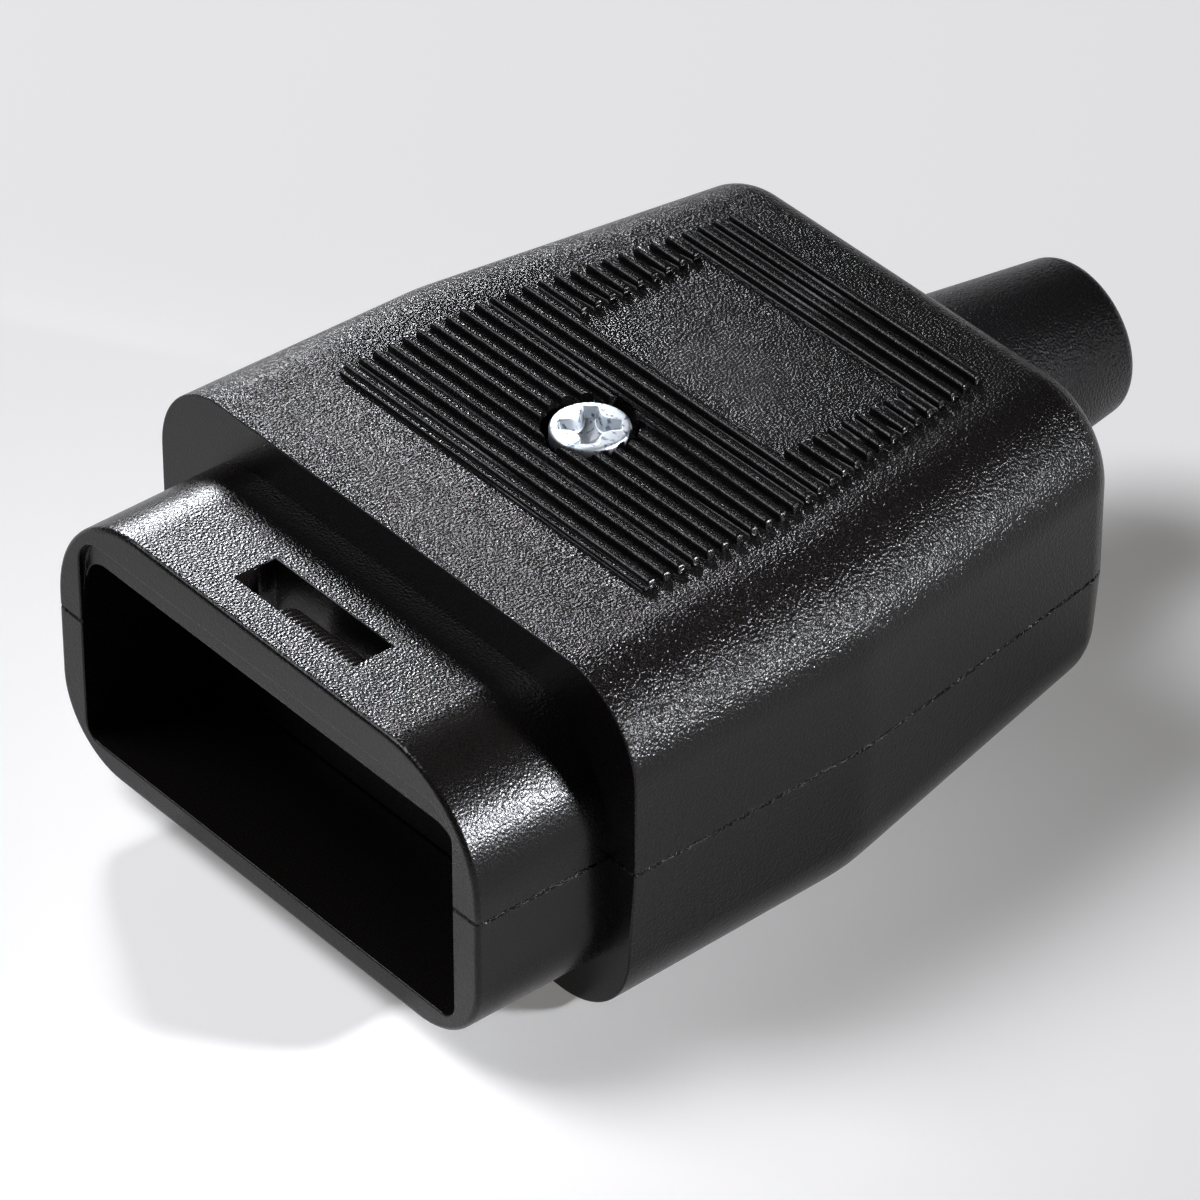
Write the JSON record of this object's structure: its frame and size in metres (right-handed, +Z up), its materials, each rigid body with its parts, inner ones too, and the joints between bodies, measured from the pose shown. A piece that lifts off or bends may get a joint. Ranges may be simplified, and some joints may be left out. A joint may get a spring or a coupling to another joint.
{
  "type": "three-pin cable coupler",
  "caption": "Black moulded in-line cable coupler half with a hollow hood, ribbed grip top, screwed cover and tapered cable sleeve.",
  "frame": {"origin": "middle of the footprint, on the surface that the base stands on", "axes": "+Y towards the cable outlet, -Y towards the hood's mouth, +Z up through the cover screw"},
  "size_m": [0.051, 0.075, 0.0293],
  "materials": {
    "black_moulding": "black moulded plastic with a spark-eroded grain",
    "black_sleeve": "black moulded sleeve with the same grain",
    "carrier_moulding": "plain black moulded plastic",
    "brass": "drawn brass",
    "zinc_steel": "bright zinc-plated steel"
  },
  "bodies": {
    "root": {"upper_shell": "black_moulding", "lower_shell": "black_moulding", "cable_sleeve": "black_sleeve", "contact_carrier": "carrier_moulding", "line_contact": "brass", "neutral_contact": "brass", "earth_contact": "brass", "line_terminal_screw": "zinc_steel", "neutral_terminal_screw": "zinc_steel", "earth_terminal_screw": "zinc_steel", "cover_screw": "zinc_steel", "cover_nut": "zinc_steel", "cord_grip_bar": "carrier_moulding", "left_grip_screw": "zinc_steel", "right_grip_screw": "zinc_steel"}
  },
  "joints": []
}
